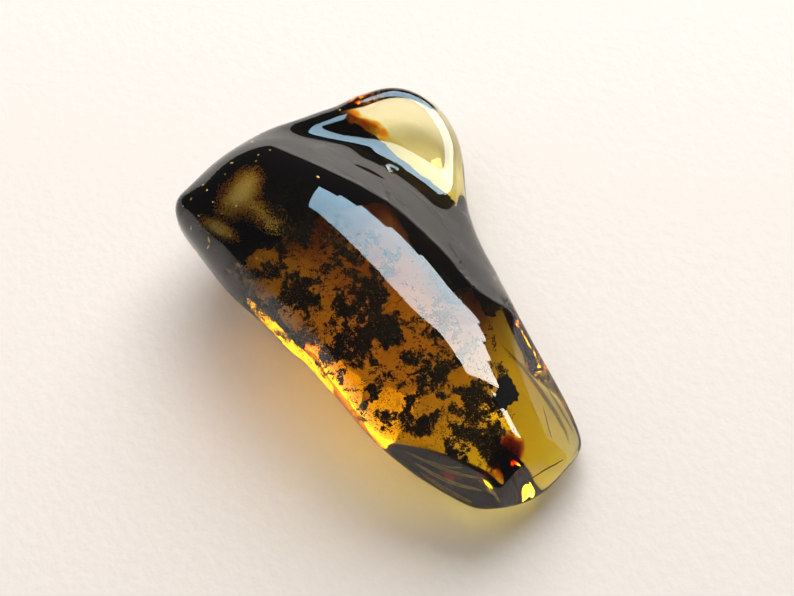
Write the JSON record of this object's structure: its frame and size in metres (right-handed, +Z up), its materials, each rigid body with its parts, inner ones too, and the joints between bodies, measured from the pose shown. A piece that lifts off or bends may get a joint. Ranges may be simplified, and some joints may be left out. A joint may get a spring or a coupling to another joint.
{
  "type": "polished amber piece",
  "caption": "Palm-sized polished lump of amber: a domed body with a thin clear lobe beside it, ground facets at a narrow clear end, and a flat face to rest on.",
  "frame": {"origin": "middle of the bounding box, on the flat resting face", "axes": "+Z up from the resting face, +X along the length towards the narrow clear end, +Y towards the side with the thin lobe"},
  "size_m": [0.0473, 0.0316, 0.0154],
  "materials": {
    "amber": "polished, see-through",
    "debris": "dark plant debris sealed in the resin",
    "stain": "red-brown stained resin inside the clear resin"
  },
  "bodies": {
    "root": {"amber": "amber"}
  },
  "joints": []
}
